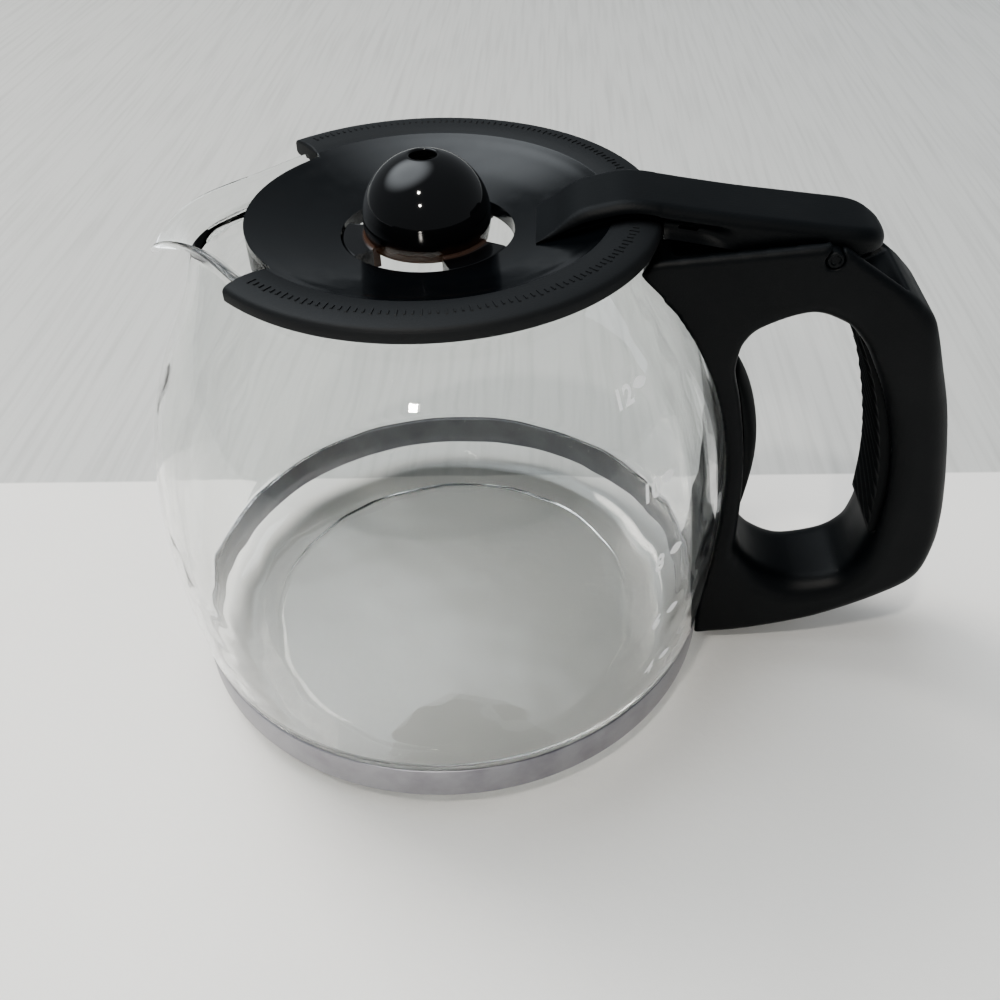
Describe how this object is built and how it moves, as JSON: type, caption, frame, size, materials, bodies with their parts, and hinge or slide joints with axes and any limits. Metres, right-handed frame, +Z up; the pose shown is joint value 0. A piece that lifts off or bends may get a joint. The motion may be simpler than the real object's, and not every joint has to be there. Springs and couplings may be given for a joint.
{
  "type": "coffee maker decanter",
  "caption": "Glass coffee decanter with pouring spout, steel heel strap, looped side handle and a hinged drip lid opened by a thumb tail.",
  "frame": {"origin": "middle of the jug's flat base", "axes": "+Z up, +X from the jug's axis towards the handle, spout towards -X"},
  "size_m": [0.2139, 0.1538, 0.1464],
  "materials": {
    "clear_glass": "clear blown borosilicate glass",
    "brushed_steel": "brushed stainless strip",
    "zinc_steel": "zinc plated steel",
    "gloss_black": "polished black moulding",
    "satin_black": "fine satin black moulding",
    "soft_black": "soft-touch black"
  },
  "bodies": {
    "jug": {"glass_jug": "clear_glass", "heel_strap": "brushed_steel", "strap_bracket": "zinc_steel", "strap_screw": "zinc_steel", "handle_shell": "satin_black", "grip_insert": "soft_black", "knuckle_pad": "soft_black"},
    "lid": {"lid_dish": "gloss_black", "drip_dome": "gloss_black", "lid_arm": "satin_black", "hinge_pin": "satin_black"}
  },
  "joints": [
    {"name": "lid_hinge", "type": "hinge", "parent": "jug", "child": "lid", "pos_m": [0.0922, 0, 0.1275], "axis": [0, 1, 0], "range_deg": [0, 70]}
  ]
}
